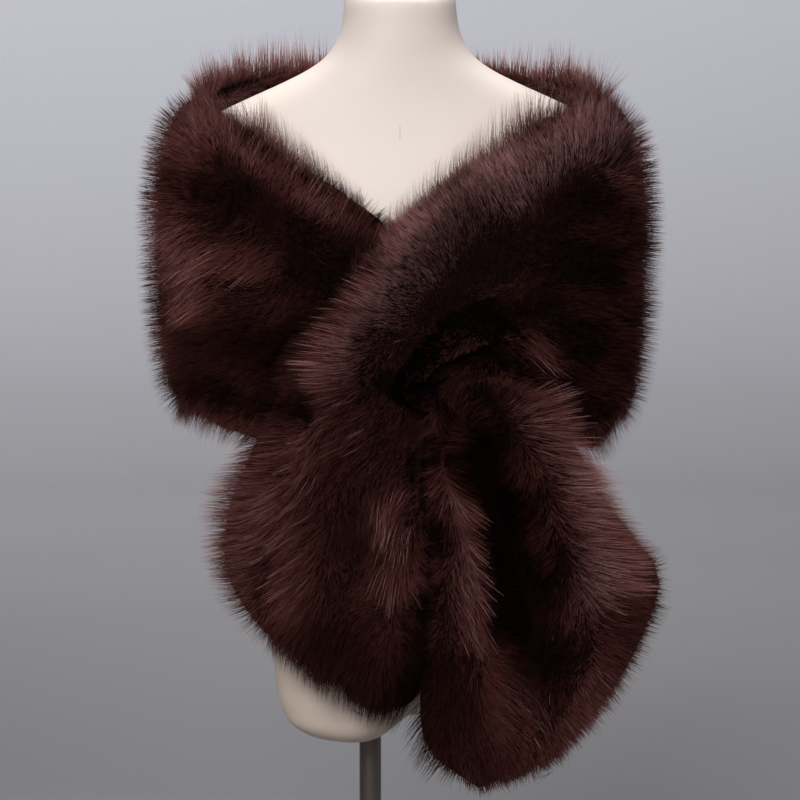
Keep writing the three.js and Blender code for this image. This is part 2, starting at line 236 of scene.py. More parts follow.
studio = {
    "sides": 96,
    "floorRadius": 5.0,
    "sweepRadius": 3.0,
    "sweepSteps": 10,
    "height": 5.5,
    "paperReach": 8.2,       # the paper's colour holds painted light, set along the way out from the stand and up: a little lighter near the stand, much lighter up the wall
    "paperPaintedLight": [(0.10, (0.195, 0.195, 0.202)), (0.30, (0.160, 0.160, 0.166)), (0.42, (0.166, 0.166, 0.172)),
              (0.60, (0.220, 0.220, 0.230)), (0.74, (0.290, 0.290, 0.305)), (0.88, (0.430, 0.430, 0.456)),
              (1.0, (0.570, 0.570, 0.618))],
    "paperRoughness": 0.9,
    "airColour": (0.80, 0.82, 0.86),
    "airStrength": 0.16,
}
studioLights = [
    {"name": "keySoftbox", "at": (-0.9, -3.0, 2.3), "aim": (0.03, 0, 0.70), "size": (1.5, 1.1), "watts": 112},
    {"name": "fillSoftbox", "at": (2.2, -2.0, 1.7), "aim": (0.03, 0, 0.60), "size": (1.2, 1.6), "watts": 9},
    {"name": "topSoftbox", "at": (0.1, 0.5, 3.0), "aim": (0.03, 0, 0.70), "size": (1.8, 1.2), "watts": 60},
    {"name": "wallWash", "at": (-0.9, 2.2, 3.2), "aim": (0, 6.5, 1.6), "size": (4.5, 0.8), "watts": 240},
]


def buildStudio():
    bpy.ops.mesh.primitive_circle_add(
        vertices=studio["sides"], radius=studio["floorRadius"], fill_type="NGON")
    bowl = bpy.context.object
    bowl.name = "studioFloor"
    bpy.ops.object.mode_set(mode="EDIT")
    bpy.ops.mesh.select_all(action="SELECT")
    reach, lift = studio["floorRadius"], 0.0
    for step in range(1, studio["sweepSteps"] + 1):
        turn = math.pi / 2 * step / studio["sweepSteps"]
        nextReach = studio["floorRadius"] + studio["sweepRadius"] * math.sin(turn)
        nextLift = studio["sweepRadius"] * (1 - math.cos(turn))
        growBowl(nextReach / reach, nextLift - lift)
        reach, lift = nextReach, nextLift
    growBowl(1.0, studio["height"] - lift)
    bpy.ops.mesh.select_all(action="SELECT")
    bpy.ops.mesh.flip_normals()
    bpy.ops.object.mode_set(mode="OBJECT")
    bpy.ops.object.shade_smooth()
    finish = Finish("studioPaperPaintedLight")
    away = finish.node("ShaderNodeVectorMath", {"operation": "LENGTH"}, {0: finish.place()}, output=1)
    # painted light on the paper: lighter near the stand and much lighter up the wall
    colour = finish.ramp(away * (1 / studio["paperReach"]), studio["paperPaintedLight"])
    bowl.data.materials.append(finish.surface(Base_Color=colour, Roughness=studio["paperRoughness"]))


def growBowl(scale, lift):
    bpy.ops.mesh.extrude_region_move()
    bpy.ops.transform.resize(value=(scale, scale, 1))
    bpy.ops.transform.translate(value=(0, 0, lift))


def lightStudio():
    air = bpy.data.worlds.new("studioAir")
    air.use_nodes = True
    air.node_tree.nodes["Background"].inputs["Color"].default_value = (*studio["airColour"], 1)
    air.node_tree.nodes["Background"].inputs["Strength"].default_value = studio["airStrength"]
    bpy.context.scene.world = air
    for lamp in studioLights:
        bpy.ops.object.light_add(type="AREA", location=lamp["at"])
        light = bpy.context.object
        light.name = lamp["name"]
        light.data.shape = "RECTANGLE"
        light.data.size, light.data.size_y = lamp["size"]
        light.data.energy = lamp["watts"]
        light.rotation_euler = (Vector(lamp["aim"]) - Vector(lamp["at"])).to_track_quat("-Z", "Y").to_euler()
    bpy.context.scene.view_settings.view_transform = "Standard"


# Dress form

formSettings = {
    "voxel": 0.006,
    "weld": 0.002,           # takes out slivers at the neck's rim
    "smoothShare": 0.5,
    "smoothing": 10,
    "cream": (0.665, 0.59, 0.54),
    "creamDeep": (0.70, 0.56, 0.455),
    "deepFrom": 0.62,        # the cover is warmer from this height
    "deepTo": 0.30,          # down to this
    "deepShare": 0.6,
    "patchScale": 7,
    "patchShare": 0.25,
    "grainScale": 900,
    "grainShare": 0.15,
    "grainBump": (0.25, 0.0004),
    "roughness": 0.55,
    "stitch": (0.42, 0.32, 0.28),
    "stitchShare": 0.5,
    "stitchHalfWidth": 0.0006,
    "stitches": [
        {"x": 0.030, "z": 0.868, "length": 0.013},
        {"x": 0.064, "z": 0.836, "length": 0.012},
    ],
}


def creamCover():
    finish = Finish("creamCover")
    patches = finish.noise(formSettings["patchScale"], 3)
    grain = finish.noise(formSettings["grainScale"], 1)
    across, front, up = (finish.axis(number) for number in range(3))
    low = finish.node("ShaderNodeMapRange", {}, {
        "Value": up, "From Min": formSettings["deepFrom"], "From Max": formSettings["deepTo"]})
    deep = (low * formSettings["deepShare"] + patches * formSettings["patchShare"]
            + grain * formSettings["grainShare"]).clamped()
    colour = finish.mix(deep, formSettings["cream"], formSettings["creamDeep"])
    onFront = front.maths("LESS_THAN", 0)
    stitched = 0
    for stitch in formSettings["stitches"]:
        onLine = across.within(stitch["x"], formSettings["stitchHalfWidth"])
        inReach = up.within(stitch["z"], stitch["length"] / 2)
        stitched = onLine * inReach * onFront + stitched
    colour = finish.mix(stitched * formSettings["stitchShare"], colour, formSettings["stitch"])
    return finish.surface(
        Base_Color=colour,
        Roughness=formSettings["roughness"],
        Normal=finish.bump(grain, *formSettings["grainBump"]),
    )


def buildForm():
    form = copyOfNode("form_body", "formCover")
    applyModifier(form, "REMESH", mode="VOXEL", voxel_size=formSettings["voxel"], use_smooth_shade=True)
    applyModifier(form, "WELD", merge_threshold=formSettings["weld"])
    applyModifier(form, "SMOOTH", factor=formSettings["smoothShare"], iterations=formSettings["smoothing"])
    ownPiece(form, creamCover())
    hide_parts("form_body")


# Metal of the cap and the stand

steelSettings = {
    "bright": (0.30, 0.255, 0.22),
    "dark": (0.07, 0.056, 0.047),
    "streakScale": 60,
    "poleStretch": (1, 1, 0.02),
    "roughness": 0.22,
    "streakRoughness": 0.2,
    "streakBump": (0.1, 0.0003),
    "poleSides": 64,
    "poleBevel": 0.0008,
    "baseSides": 160,
    "baseBevel": 0.002,
    "capBevel": 0.0008,
    "edgeAngle": 40,
    "collarAngle": 30,
}


def brushedSteel(name, stretch):
    finish = Finish(name)
    streaks = finish.noise(steelSettings["streakScale"], 4, stretch)
    return finish.surface(
        Base_Color=finish.mix(streaks, steelSettings["dark"], steelSettings["bright"]),
        Metallic=1.0,
        Roughness=streaks * steelSettings["streakRoughness"] + steelSettings["roughness"],
        Normal=finish.bump(streaks, *steelSettings["streakBump"]),
    )


def turnedPiece(nodeName, pieceName, sides, finish, bevel):
    low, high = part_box(nodeName)
    middle = [(a + b) / 2 for a, b in zip(low, high)]
    deselectAll()
    bpy.ops.mesh.primitive_cylinder_add(
        vertices=sides, radius=(high[0] - low[0]) / 2, depth=high[2] - low[2], location=middle)
    piece = bpy.context.object
    piece.name = pieceName
    pickOnly(piece)
    bpy.ops.object.transform_apply(location=True, rotation=True, scale=True)
    applyModifier(piece, "BEVEL", width=bevel, segments=3, limit_method="ANGLE")
    smoothByAngle(piece, steelSettings["edgeAngle"])
    ownPiece(piece, finish)
    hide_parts(nodeName)


def buildStand():
    upright = brushedSteel("steelPole", steelSettings["poleStretch"])
    turnedPiece("stand_pole", "standPole", steelSettings["poleSides"], upright, steelSettings["poleBevel"])
    flat = brushedSteel("steelBase", (1, 1, 1))
    turnedPiece("stand_base", "standBase", steelSettings["baseSides"], flat, steelSettings["baseBevel"])
    capPlate = copyOfNode("form_neck_cap", "neckCap")
    applyModifier(capPlate, "BEVEL", width=steelSettings["capBevel"], segments=2, limit_method="ANGLE")
    smoothByAngle(capPlate, steelSettings["edgeAngle"])
    ownPiece(capPlate, flat)
    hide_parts("form_neck_cap")
    collar = copyOfNode("stand_collar", "standCollar")
    smoothByAngle(collar, steelSettings["collarAngle"])
    ownPiece(collar, upright)
    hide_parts("stand_collar")


# Stole: which of its faces grow hair, and how much of them is open

pelt = {
    "seed": 7,
    "shoulderLine": 0.11,    # outward is away from a line across the shoulders, this long each way
    "edgeShare": -0.1,       # a face that turns to the body by more than this is the wrong side
    "rimShare": 0.3,         # unless it looks up or down by this much, as the rolled edges do
    "hemsBelow": 0.7,        # such an edge is a hem below this height, and the collar above it
    "rollHeight": 0.868,     # above this the fur turns over the collar edge to the inside,
    "rollBehind": -0.02,     # behind this depth,
    "rollWithin": 0.184,     # and nearer the middle than this the height rises
    "rollRise": 0.30,        # by this share
    "lift": 0.0004,          # rays start this far off the surface
    "depthReach": 0.06,      # and look this far down for the other side
    "aheadLift": 0.00005,
    "aheadReach": 0.01,
    "seamReach": 0.003,      # a face with less room ahead than this is shut in at a seam
    "sharedWithin": 0.00075,
    "openRays": 20,
    "openSpread": 0.9,
    "openLift": 0.002,
    "openReach": 0.09,
}


def meshArrays(piece):
    mesh = piece.data
    mesh.calc_loop_triangles()
    points = np.empty(len(mesh.vertices) * 3, np.float32)
    mesh.vertices.foreach_get("co", points)
    corners = np.empty(len(mesh.loop_triangles) * 3, np.int32)
    mesh.loop_triangles.foreach_get("vertices", corners)
    normals = np.empty(len(mesh.vertices) * 3, np.float32)
    mesh.vertices.foreach_get("normal", normals)
    return points.reshape(-1, 3), corners.reshape(-1, 3), normals.reshape(-1, 3)


def unit(vectors):
    return vectors / np.maximum(np.linalg.norm(vectors, axis=1, keepdims=True), 1e-9)


def faceNormals(points, corners):
    a, b, c = (points[corners[:, k]] for k in range(3))
    return np.cross(b - a, c - a), (a + b + c) / 3


def outwardFrom(points):
    # the way from the body to the fur, level, from a line across the shoulders
    out = points.copy()
    out[:, 0] -= formMiddle
    out[:, 0] -= np.clip(out[:, 0], -pelt["shoulderLine"], pelt["shoulderLine"])
    out[:, 2] = 0
    return unit(out)


def growsHair(points, normals):
    # the right side of the cloth, and its edges: 1 on the roll of fur over the collar, -1 on the hems
    right = (normals * outwardFrom(points)).sum(1) > pelt["edgeShare"]
    high = points[:, 2] > pelt["hemsBelow"]
    fromMiddle = np.abs(points[:, 0] - formMiddle)
    rollFrom = pelt["rollHeight"] + pelt["rollRise"] * np.maximum(pelt["rollWithin"] - fromMiddle, 0)
    behind = (points[:, 2] > rollFrom) & (points[:, 1] > pelt["rollBehind"])
    rolled = ~right & (behind | ((normals[:, 2] > pelt["rimShare"]) & high))
    hem = ~right & (normals[:, 2] < -pelt["rimShare"]) & ~high
    return right | rolled | hem, rolled * 1.0 - hem


def rayDistances(tree, starts, ways, reach):
    found = np.full(len(starts), reach, np.float32)
    for index, (start, way) in enumerate(zip(starts.tolist(), ways.tolist())):
        hit = tree.ray_cast(start, way, reach)
        if hit[0] is not None:
            found[index] = hit[3]
    return found


def depthUnder(nodeName, shells, points, ways):
    return rayDistances(
        shells["trees"][nodeName]["own"], points - ways * pelt["lift"], -ways, pelt["depthReach"])


def placesOf(points):
    places = KDTree(len(points))
    for index, point in enumerate(points.tolist()):
        places.insert(point, index)
    places.balance()
    return places


def peltShells():
    # each stretch's merged mesh as arrays, with ray trees of itself and of all that may cover it
    shells = {"arrays": {}, "trees": {}, "roomAhead": {}, "exposed": {}, "openness": {}}
    for nodeName in stoleNodes + ["form_body"]:
        piece = copyOfNode(nodeName, "shell_" + nodeName)
        shells["arrays"][nodeName] = meshArrays(piece)
        bpy.data.objects.remove(piece)
    for nodeName in stoleNodes:
        points, corners, count = [], [], 0
        for other, (otherPoints, otherCorners, _) in shells["arrays"].items():
            if other != nodeName:
                points += otherPoints.tolist()
                corners += (otherCorners + count).tolist()
                count += len(otherPoints)
        ownPoints, ownCorners, _ = shells["arrays"][nodeName]
        shells["trees"][nodeName] = {
            "own": BVHTree.FromPolygons(ownPoints.tolist(), ownCorners.tolist()),
            "neighbours": BVHTree.FromPolygons(points, corners),
        }
        crossed, centres = faceNormals(ownPoints, ownCorners)
        ahead = unit(crossed)
        shells["roomAhead"][nodeName] = rayDistances(
            shells["trees"][nodeName]["neighbours"],
            centres + ahead * pelt["aheadLift"], ahead, pelt["aheadReach"])
    joinNormals(shells)
    for nodeName in stoleNodes:
        shells["openness"][nodeName] = opennessOf(nodeName, shells)
    return shells


def joinNormals(shells):
    # corner normals from the open faces alone, shared across each seam, so that the fur runs on over it
    sums = []
    for nodeName in stoleNodes:
        points, corners, _ = shells["arrays"][nodeName]
        crossed, _ = faceNormals(points, corners)
        crossed *= (shells["roomAhead"][nodeName] > pelt["seamReach"])[:, None]
        sums.append(np.zeros_like(points))
        for k in range(3):
            np.add.at(sums[-1], corners[:, k], crossed)
    everySum = np.concatenate(sums)
    places = placesOf(np.concatenate([shells["arrays"][nodeName][0] for nodeName in stoleNodes]))
    for nodeName in stoleNodes:
        points, corners, normals = shells["arrays"][nodeName]
        shared = [[hit[1] for hit in places.find_range(point, pelt["sharedWithin"])]
                  for point in points.tolist()]
        joined = np.array([everySum[others].sum(0) for others in shared])
        exposed = np.linalg.norm(joined, axis=1) > 1e-9
        shells["exposed"][nodeName] = exposed
        shells["arrays"][nodeName] = (points, corners, np.where(exposed[:, None], unit(joined), normals))


def opennessOf(nodeName, shells):
    # for each corner of a stretch, how much of what is in front of it is open, from 0 to 1
    points, _, normals = shells["arrays"][nodeName]
    rng = np.random.default_rng(pelt["seed"])
    total = np.zeros(len(points))
    starts = points + normals * pelt["openLift"]
    for _ in range(pelt["openRays"]):
        ways = unit(normals * pelt["openSpread"] + unit(rng.normal(size=points.shape)))
        free = np.minimum(*(rayDistances(tree, starts, ways, pelt["openReach"])
                            for tree in shells["trees"][nodeName].values()))
        total += free / pelt["openReach"]
    return total / pelt["openRays"]


# Ground cloth, on the wrong side

groundSettings = {
    "thickness": 0.0012,
    "seam": 0.0005,          # corners of two stretches that meet within this are joined
    "seamRoom": 0.0009,      # a face with less room ahead than this closes a stretch at a seam
    "seamTurn": 0.6,         # if it turns to the body or away from it by less than this
    "flatWidth": 0.36,
    "flatLength": 1.95,
    "smoothAngle": 60,
    "ribScale": 700,
    "ribStretch": (1, 1, 3),
    "dark": (0.012, 0.006, 0.006),
    "light": (0.03, 0.014, 0.013),
    "roughness": 0.85,
    "specular": 0.15,
    "ribBump": (0.4, 0.0005),
}


def knitBacking():
    finish = Finish("knitBacking")
    ribs = finish.noise(groundSettings["ribScale"], 2, groundSettings["ribStretch"])
    return finish.surface(
        Base_Color=finish.mix(ribs, groundSettings["dark"], groundSettings["light"]),
        Roughness=groundSettings["roughness"],
        Specular_IOR_Level=groundSettings["specular"],
        Normal=finish.bump(ribs, *groundSettings["ribBump"]),
    )


def buildGroundCloth(shells):
    # the faces that grow no hair, without the ends of the stretches, joined and given a thickness
    pieces = []
    for nodeName in stoleNodes:
        piece = copyOfNode(nodeName, "ground_" + nodeName)
        points, corners, _ = meshArrays(piece)
        crossed, centres = faceNormals(points, corners)
        turned = (unit(crossed) * outwardFrom(centres)).sum(1)
        seam = (shells["roomAhead"][nodeName] < groundSettings["seamRoom"]) \
            & (np.abs(turned) < groundSettings["seamTurn"])
        piece.data.polygons.foreach_set("select", growsHair(centres, unit(crossed))[0] | seam)
        bpy.ops.object.mode_set(mode="EDIT")
        bpy.ops.mesh.select_mode(type="FACE")
        bpy.ops.mesh.delete(type="FACE")
        bpy.ops.object.mode_set(mode="OBJECT")
        pieces.append(piece)
    deselectAll()
    for piece in pieces:
        piece.select_set(True)
    bpy.context.view_layer.objects.active = pieces[0]
    bpy.ops.object.join()
    cloth = bpy.context.object
    cloth.name = "groundCloth"
    mergeCorners(cloth, groundSettings["seam"])
    applyModifier(cloth, "SOLIDIFY", thickness=groundSettings["thickness"], offset=-1)
    smoothByAngle(cloth, groundSettings["smoothAngle"])
    ownPiece(cloth, knitBacking())
    return cloth


# Dense underfur

underfurSettings = {
    "sink": 0.012,
    "sinkShare": 0.5,        # never deeper than this share of the fur and cloth under it
    "tuftScale": 260,
    "tuftStretch": (1, 1, 0.35),
    "dark": (0.003, 0.0010, 0.0011),
    "light": (0.012, 0.0036, 0.0034),
    "roughness": 0.9,
    "specular": 0.03,
    "tuftBump": (1.0, 0.004),
}


def underfurFinish():
    finish = Finish("underfur")
    tufts = finish.noise(underfurSettings["tuftScale"], 4, underfurSettings["tuftStretch"])
    return finish.surface(
        Base_Color=finish.mix(tufts, underfurSettings["dark"], underfurSettings["light"]),
        Roughness=underfurSettings["roughness"],
        Specular_IOR_Level=underfurSettings["specular"],
        Normal=finish.bump(tufts, *underfurSettings["tuftBump"]),
    )


def buildUnderfur(nodeName, shells, finish):
    # the stretch itself, with its hairy side sunk so that the long hair stands over it
    piece = copyOfNode(nodeName, "underfur_" + nodeName)
    points, _, normals = shells["arrays"][nodeName]
    depth = depthUnder(nodeName, shells, points, normals)
    sunk = growsHair(points, normals)[0] & shells["exposed"][nodeName]
    sink = np.where(sunk, np.minimum(underfurSettings["sink"], depth * underfurSettings["sinkShare"]), 0)
    piece.data.vertices.foreach_set("co", (points - normals * sink[:, None]).astype(np.float32).ravel())
    piece.data.update()
    pickOnly(piece)
    bpy.ops.object.shade_smooth()
    ownPiece(piece, finish)
    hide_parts(nodeName)
    return piece


# Long hair

hairColours = {
    "rootToTip": [(0.0, (0.004, 0.0012, 0.0012)), (0.4, (0.042, 0.0112, 0.0100)),
                  (0.8, (0.160, 0.0500, 0.0430)), (1.0, (0.260, 0.0960, 0.0840))],
    # the hair's tone holds its own tone and the painted light and shade; the pale end paints the highlights
    # on lit hair and is the frosted hairs' own pale colour
    "toneAndPaintedLight": [(0.0, (0.03, 0.03, 0.03)), (0.4, (0.8, 0.8, 0.8)),
                   (0.75, (1.90, 2.80, 3.00)), (1.0, (3.1, 5.1, 5.7))],
    "roughness": 0.55,
    "specular": 0.02,
    "tint": (1.0, 0.6, 0.5),
}
# How the long hair grows. Lengths are in metres, and pairs are a mean and a spread or a low and a high
hair = {
    "hairsPerNode": {
        "stole_back": 66000,
        "stole_front_under": 62000,
        "stole_tail_through": 62000,
        "stole_front_over": 64000,
        "stole_tail_over": 59000,
    },
    "coverLift": 0.0001,
    "hiddenWithin": 0.0012,  # no hair grows where another stretch lies this close
    "edgeCrowd": 1.5,        # how much denser the hair stands on the edges
    "edgeLie": 1.3,          # how strongly it lies up or down there
    "edgeOut": 0.4,          # and outward
    "leastFall": 0.4,
    "rootSink": 0.019,
    "rootShare": 0.75,       # never deeper than this share of what is under it
    "guardShare": 0.34,      # long thin hairs among the soft ones
    "reach": (-0.004, 0.004),     # how far a soft hair passes the fur's outline
    "guardReach": (0.012, 0.006),
    "rimReach": 0.008,       # how much longer hair is where the pelt turns round an edge,
    "frontDepth": 0.09,      # and less so up to this far in front of the middle
    "hemLength": 0.55,       # what is left of it on the hems
    "frostShare": 0.028,     # long pale hairs, where the pelt has been stroked: their own pale colour, also a painted highlight
    "frostLight": 0.05,      # and its painted light is more than this
    "frostReach": 0.012,
    "frostLie": 1.8,
    "rootTurn": {"way": 1.1, "fall": 0.04, "push": 0.5, "broad": 0.10, "fine": 0.06, "stray": 0.04},
    "tipTurn": {"way": 0.72, "fall": 0.104, "push": 1.2, "broad": 0.20, "fine": 0.10, "stray": 0.08},
    "broadWave": 0.050,
    "fineWave": 0.014,
    "waves": 6,
    "waveSpread": (0.7, 1.4),
    "waveStart": (0, 6.28),
    "waveLevel": 2.2,
    "roomReach": 0.03,
    "roomShare": 0.5,        # how much of the room in front of a hair it may fill
    "leastLean": 0.5,
    "shortest": 0.013,
    "proudShare": 0.03,      # the hair stands out of the CAD box by this share of its side
    "proud": 0.008,          # and this much
    "lockSize": 0.005,
    "lockPull": 0.13,
    "pullSpread": (0.2, 1.0),
    "pullCurve": 1.6,
    "lockReach": 0.015,      # tips farther apart than this don't draw together
    "stops": (0.0, 0.5, 1.0),     # where along a hair its ribbon has corners
    "taper": (1.0, 0.75),    # and how wide it is there, before its pointed tip
    "width": 0.0006,         # of a soft hair, where it stands as densely as
    "usualCrowd": 5e5,       # this many to a square metre
    "guardWidth": 0.00035,
    "frostWidth": 0.00042,
    "widthSpread": (0.6, 1.3),
    "twist": 0.24,
    "softness": 0.22,        # how far its shading is turned to the surface's own
    "tone": 0.50,
    "lockTone": 0.035,
    "singleTone": 0.04,
    "guardTone": 0.16,
    "frostTone": (0.7, 1.0),
    "plainShade": 0.73,      # the painted light of hair that no stroke reaches
    "darkCurve": 1.8,
    # the most painted light that the strokes may put into a hair's colour
    "mostShade": 2,
    "paintedValleyShade": 3.0,      # how much darker the hair's colour is painted where little is open: painted shade in the hollows
    "rolledShade": 1.35,     # the least painted light on the rolled collar
    "strokeFront": 0.7,      # strokes reach the front fully, and fade out
    "strokeFade": 0.06,      # over this depth behind the middle
}
# Where the hair has been stroked, and where light and shade are painted into its colour, as lines on
# the front, in metres from the form's middle and from the floor: how far each reaches to its sides, the
# way the hair lies and how strongly, and how much painted light (painted shade, if negative) it puts
# there. The lines with no strength only paint shade
strokes = [
    {"name": "left corner", "from": (-0.205, 0.870), "to": (-0.150, 0.905),
     "reach": 0.030, "way": (-0.3, 0.9), "strength": 0.5, "paintedLight": 0.5},
    {"name": "right corner", "from": (0.215, 0.875), "to": (0.170, 0.905),
     "reach": 0.030, "way": (0.3, 0.9), "strength": 0.5, "paintedLight": 0.5},
    {"name": "over collar, high", "from": (0.205, 0.865), "to": (0.105, 0.825),
     "reach": 0.028, "way": (-0.5, 0.8), "strength": 0.8, "paintedLight": 1.9},
    {"name": "over collar, middle", "from": (0.105, 0.815), "to": (0.040, 0.770),
     "reach": 0.028, "way": (-0.7, 0.7), "strength": 0.8, "paintedLight": 3.6},
    {"name": "over collar, low", "from": (0.035, 0.765), "to": (-0.048, 0.660),
     "reach": 0.032, "way": (-0.95, 0.3), "strength": 0.9, "paintedLight": 0.8},
    {"name": "over collar, side", "from": (0.030, 0.735), "to": (0.000, 0.700),
     "reach": 0.022, "way": (-0.7, 0.4), "strength": 0.5, "paintedLight": 1.6},
    {"name": "over crossing", "from": (-0.045, 0.650), "to": (-0.040, 0.570),
     "reach": 0.022, "way": (-1.0, -0.1), "strength": 0.9, "paintedLight": 0.3},
    {"name": "over crossing, side", "from": (-0.090, 0.580), "to": (-0.085, 0.550),
     "reach": 0.022, "way": (-0.8, -0.4), "strength": 0.4, "paintedLight": 0.35},
    {"name": "over hollow", "from": (0.160, 0.780), "to": (0.020, 0.630),
     "reach": 0.050, "way": (0.0, 0.0), "strength": 0.0, "paintedLight": -0.1},
    {"name": "over flank", "from": (0.125, 0.668), "to": (0.140, 0.652),
     "reach": 0.013, "way": (0.6, -0.7), "strength": 0.8, "paintedLight": 0.5},
    {"name": "over side", "from": (0.190, 0.770), "to": (0.170, 0.600),
     "reach": 0.050, "way": (0.0, 0.0), "strength": 0.0, "paintedLight": -0.7},
    {"name": "over hem", "from": (0.165, 0.572), "to": (0.215, 0.585),
     "reach": 0.018, "way": (0.2, -1.0), "strength": 0.7, "paintedLight": 0.7},
    {"name": "over tail shoulder", "from": (-0.122, 0.575), "to": (-0.152, 0.515),
     "reach": 0.018, "way": (-1.0, 0.15), "strength": 1.35, "paintedLight": -0.1},
    {"name": "over tail side", "from": (-0.155, 0.530), "to": (-0.160, 0.440),
     "reach": 0.036, "way": (-1.0, 0.0), "strength": 1.1, "paintedLight": 0.6},
    {"name": "over tail hollow", "from": (-0.045, 0.570), "to": (-0.050, 0.490),
     "reach": 0.022, "way": (-0.4, -0.9), "strength": 0.3, "paintedLight": -0.3},
    {"name": "over tail bank", "from": (-0.105, 0.520), "to": (-0.085, 0.420),
     "reach": 0.024, "way": (-0.9, -0.5), "strength": 0.7, "paintedLight": 0.3},
    {"name": "over tail dark", "from": (-0.080, 0.395), "to": (-0.010, 0.350),
     "reach": 0.034, "way": (-0.3, -0.9), "strength": 0.6, "paintedLight": -0.65},
    {"name": "over tail crest", "from": (-0.010, 0.530), "to": (-0.012, 0.455),
     "reach": 0.018, "way": (0.05, -1.0), "strength": 1.0, "paintedLight": 0.25},
    {"name": "over tail end", "from": (-0.090, 0.340), "to": (0.000, 0.320),
     "reach": 0.030, "way": (-0.25, -1.0), "strength": 0.8, "paintedLight": -0.4},
    {"name": "pulled ridge", "from": (0.050, 0.530), "to": (0.062, 0.400),
     "reach": 0.016, "way": (0.8, -0.6), "strength": 0.9, "paintedLight": 0.7},
    {"name": "pulled foot", "from": (0.030, 0.370), "to": (0.055, 0.335),
     "reach": 0.024, "way": (0.2, -0.8), "strength": 0.4, "paintedLight": -0.7},
    {"name": "pulled hollow", "from": (0.078, 0.56), "to": (0.103, 0.42),
     "reach": 0.022, "way": (0.0, 0.0), "strength": 0.0, "paintedLight": -2.2},
    {"name": "pulled hollow, low", "from": (0.105, 0.41), "to": (0.130, 0.37),
     "reach": 0.020, "way": (0.0, 0.0), "strength": 0.0, "paintedLight": -1.0},
    {"name": "pulled crest, high", "from": (0.075, 0.633), "to": (0.117, 0.608),
     "reach": 0.013, "way": (0.6, 0.8), "strength": 0.8, "paintedLight": -0.1},
    {"name": "pulled crest, middle", "from": (0.117, 0.606), "to": (0.158, 0.545),
     "reach": 0.017, "way": (0.95, 0.1), "strength": 1.6, "paintedLight": 1.0},
    {"name": "pulled crest, low", "from": (0.165, 0.535), "to": (0.180, 0.450),
     "reach": 0.022, "way": (1.0, 0.1), "strength": 1.5, "paintedLight": 1.2},
    {"name": "pulled bank", "from": (0.160, 0.440), "to": (0.155, 0.385),
     "reach": 0.020, "way": (0.8, -0.4), "strength": 0.5, "paintedLight": 0.5},
    {"name": "pulled side", "from": (0.200, 0.500), "to": (0.205, 0.400),
     "reach": 0.026, "way": (1.0, 0.0), "strength": 0.9, "paintedLight": -0.15},
    {"name": "pulled low", "from": (0.100, 0.330), "to": (0.180, 0.320),
     "reach": 0.034, "way": (0.75, -0.65), "strength": 0.8, "paintedLight": 0.25},
    {"name": "pulled end, side", "from": (0.022, 0.335), "to": (0.040, 0.270),
     "reach": 0.016, "way": (-0.9, -0.5), "strength": 1.6, "paintedLight": -0.1},
    {"name": "pulled end", "from": (0.040, 0.300), "to": (0.080, 0.270),
     "reach": 0.034, "way": (0.6, -0.8), "strength": 0.8, "paintedLight": -0.4},
    {"name": "slot lip, near", "from": (0.020, 0.600), "to": (0.070, 0.655),
     "reach": 0.018, "way": (-0.3, -0.9), "strength": 0.8, "paintedLight": -0.25},
    {"name": "slot lip, far", "from": (0.070, 0.655), "to": (0.120, 0.635),
     "reach": 0.012, "way": (0.3, -0.9), "strength": 0.8, "paintedLight": -0.2},
    {"name": "under collar", "from": (-0.170, 0.855), "to": (-0.020, 0.757),
     "reach": 0.011, "way": (0.5, 0.85), "strength": 0.8, "paintedLight": 0.7},
    {"name": "under shadow", "from": (-0.165, 0.815), "to": (-0.055, 0.735),
     "reach": 0.034, "way": (0.0, 0.0), "strength": 0.0, "paintedLight": -0.5},
    {"name": "under chest", "from": (-0.221, 0.769), "to": (-0.195, 0.700),
     "reach": 0.018, "way": (-0.6, -0.7), "strength": 0.8, "paintedLight": 0.65},
    {"name": "under streak", "from": (-0.188, 0.755), "to": (-0.125, 0.745),
     "reach": 0.012, "way": (-0.8, -0.6), "strength": 1.0, "paintedLight": 0.3},
    {"name": "under low", "from": (-0.190, 0.675), "to": (-0.100, 0.665),
     "reach": 0.030, "way": (-1.0, -0.15), "strength": 0.7, "paintedLight": -0.85},
    {"name": "under dip", "from": (-0.200, 0.630), "to": (-0.110, 0.610),
     "reach": 0.028, "way": (0.0, 0.0), "strength": 0.0, "paintedLight": -0.5},
    {"name": "under hem", "from": (-0.220, 0.600), "to": (-0.140, 0.575),
     "reach": 0.014, "way": (-0.2, -1.0), "strength": 0.7, "paintedLight": 0.4},
]


def longHairFinish():
    finish = Finish("longHair")
    rootToTip = finish.ramp(finish.attribute("along"), hairColours["rootToTip"])
    # tone carries the painted light and shade, and its pale end paints highlights
    toneAndPaintedLight = finish.ramp(finish.attribute("tone"), hairColours["toneAndPaintedLight"])
    return finish.surface(
        Base_Color=finish.mix(1.0, rootToTip, toneAndPaintedLight, "MULTIPLY"),
        Roughness=hairColours["roughness"],
        Specular_IOR_Level=hairColours["specular"],
        Specular_Tint=hairColours["tint"],
    )


def stroked(points):
    # the sum of the strokes that reach each point: the way the hair is pushed, and the light painted into its
    # colour (painted shade where negative)
    push = np.zeros_like(points)
    paintedLight = np.zeros(len(points))
    place = points[:, [0, 2]] - (formMiddle, 0)
    front = np.clip(hair["strokeFront"] - points[:, 1] / hair["strokeFade"], 0, 1)
    for stroke in strokes:
        start, line = np.array(stroke["from"]), np.subtract(stroke["to"], stroke["from"])
        share = ((place - start) @ line / (line @ line)).clip(0, 1)
        away2 = ((place - start - share[:, None] * line) ** 2).sum(1)
        near = np.exp(-away2 / stroke["reach"] ** 2) * front
        push[:, [0, 2]] += (near * stroke["strength"])[:, None] * stroke["way"]
        paintedLight += near * stroke["paintedLight"]
    return push, paintedLight


